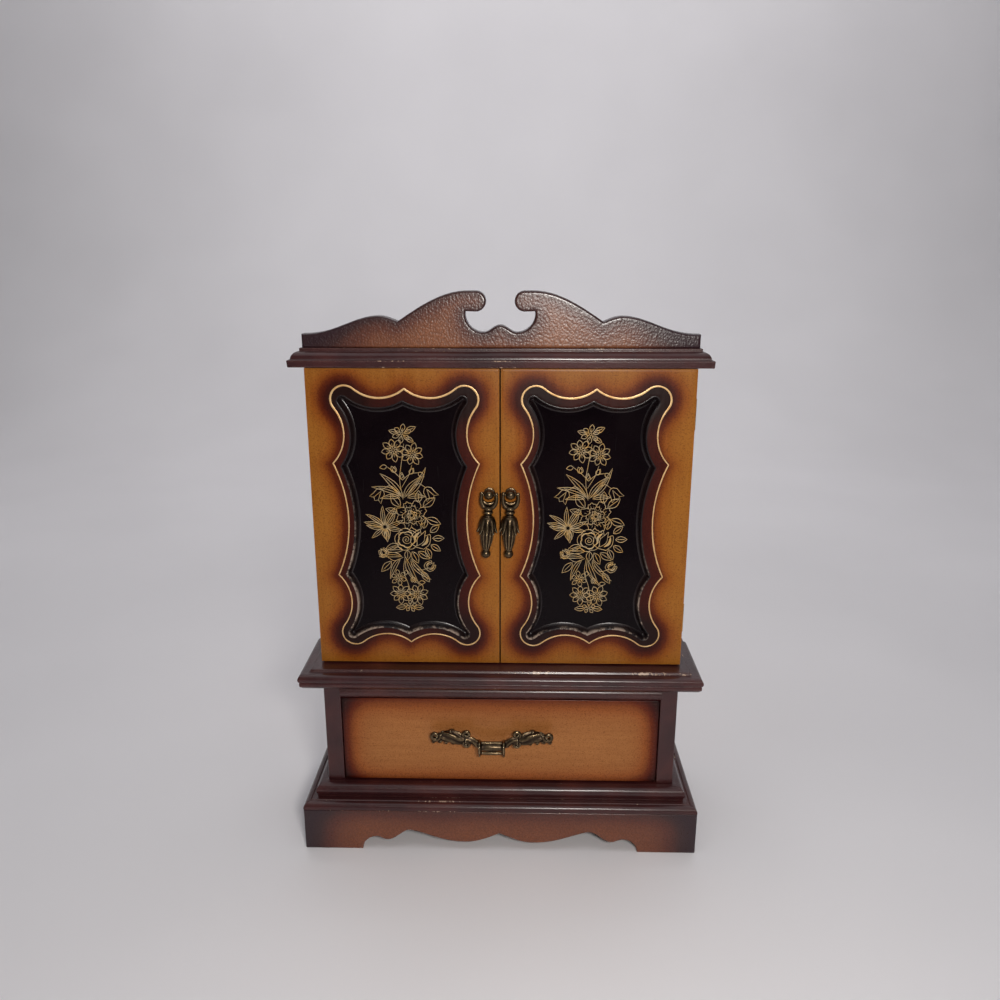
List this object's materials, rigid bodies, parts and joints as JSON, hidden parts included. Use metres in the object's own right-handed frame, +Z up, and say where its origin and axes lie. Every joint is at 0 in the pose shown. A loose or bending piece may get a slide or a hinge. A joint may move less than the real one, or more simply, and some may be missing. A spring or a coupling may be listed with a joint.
{
  "type": "jewelry armoire",
  "caption": "Table-top jewelry armoire with hinged doors over a drawer, shaped door panels, drop pulls, scalloped plinth and a broken pediment.",
  "frame": {"origin": "centre of the footprint at ground level", "axes": "+Z up, front faces -Y, +X to the right seen from the front"},
  "size_m": [0.2732, 0.106, 0.3817],
  "materials": {
    "tan_lacquer": "honey-tan satin lacquer shaded to dark brown at the edges of the panels",
    "dark_lacquer": "dark burgundy-brown satin lacquer with worn edges",
    "red_lacquer": "reddish tan lacquer shaded to near black at the edges, finely pebbled",
    "black_gloss": "gloss black lacquer with gold line drawing",
    "plain_wood": "plain unfinished wood",
    "antique_brass": "antique brass, dark in the hollows",
    "bright_brass": "plain brass",
    "steel": "zinc-plated steel",
    "dark_plastic": "dark brown plastic",
    "velvet": "burgundy velvet"
  },
  "bodies": {
    "case": {"apron_front": "red_lacquer", "plinth_sides": "dark_lacquer", "plinth_back": "dark_lacquer", "glue_blocks": "plain_wood", "base_lower_board": "dark_lacquer", "base_upper_board": "dark_lacquer", "lower_side_left": "dark_lacquer", "lower_side_right": "dark_lacquer", "stile_left": "dark_lacquer", "stile_right": "dark_lacquer", "drawer_rail": "dark_lacquer", "lower_back": "plain_wood", "drawer_runners": "plain_wood", "waist_board": "dark_lacquer", "upper_side_left": "dark_lacquer", "upper_side_right": "dark_lacquer", "upper_back": "plain_wood", "cornice_board": "dark_lacquer", "pediment": "red_lacquer", "pediment_dowels": "plain_wood", "cabinet_divider": "dark_lacquer", "shelves": "dark_lacquer", "shelf_pads": "velvet", "back_linings": "velvet", "hook_rail": "dark_lacquer", "necklace_hooks": "bright_brass", "necklace_pouch": "velvet", "catch_housing": "dark_plastic", "catch_magnets": "steel", "hinge_case_leaves": "bright_brass", "hinge_pins": "bright_brass", "hinge_case_screws": "bright_brass", "back_panel_pins": "steel"},
    "door_left": {"door_board_left": "tan_lacquer", "door_panel_left": "black_gloss", "door_backing_left": "velvet", "hinge_door_leaves_left": "bright_brass", "hinge_door_screws_left": "bright_brass", "strike_plate_left": "steel", "pull_post_left": "antique_brass", "pull_screw_left": "steel"},
    "door_right": {"door_board_right": "tan_lacquer", "door_panel_right": "black_gloss", "door_backing_right": "velvet", "hinge_door_leaves_right": "bright_brass", "hinge_door_screws_right": "bright_brass", "strike_plate_right": "steel", "pull_post_right": "antique_brass", "pull_screw_right": "steel"},
    "pull_left": {"pendant_left": "antique_brass"},
    "pull_right": {"pendant_right": "antique_brass"},
    "drawer": {"drawer_front": "tan_lacquer", "drawer_sides": "plain_wood", "drawer_back": "plain_wood", "drawer_bottom": "plain_wood", "drawer_divider": "velvet", "drawer_lining": "velvet", "ring_rolls": "velvet", "drawer_pull": "antique_brass", "drawer_pull_screws": "steel"}
  },
  "joints": [
    {"name": "door_left_hinge", "type": "hinge", "parent": "case", "child": "door_left", "pos_m": [-0.1234, -0.0228, 0.235], "axis": [0, 0, -1], "range_deg": [0, 170]},
    {"name": "door_right_hinge", "type": "hinge", "parent": "case", "child": "door_right", "pos_m": [0.1234, -0.0228, 0.235], "axis": [0, 0, 1], "range_deg": [0, 170]},
    {"name": "pull_left_swing", "type": "hinge", "parent": "door_left", "child": "pull_left", "pos_m": [-0.0069, -0.0382, 0.2552], "axis": [-1, 0, 0], "range_deg": [0, 85]},
    {"name": "pull_right_swing", "type": "hinge", "parent": "door_right", "child": "pull_right", "pos_m": [0.0069, -0.0382, 0.2552], "axis": [-1, 0, 0], "range_deg": [0, 85]},
    {"name": "drawer_slide", "type": "slide", "parent": "case", "child": "drawer", "axis": [0, -1, 0], "range_m": [0, 0.055]}
  ]
}
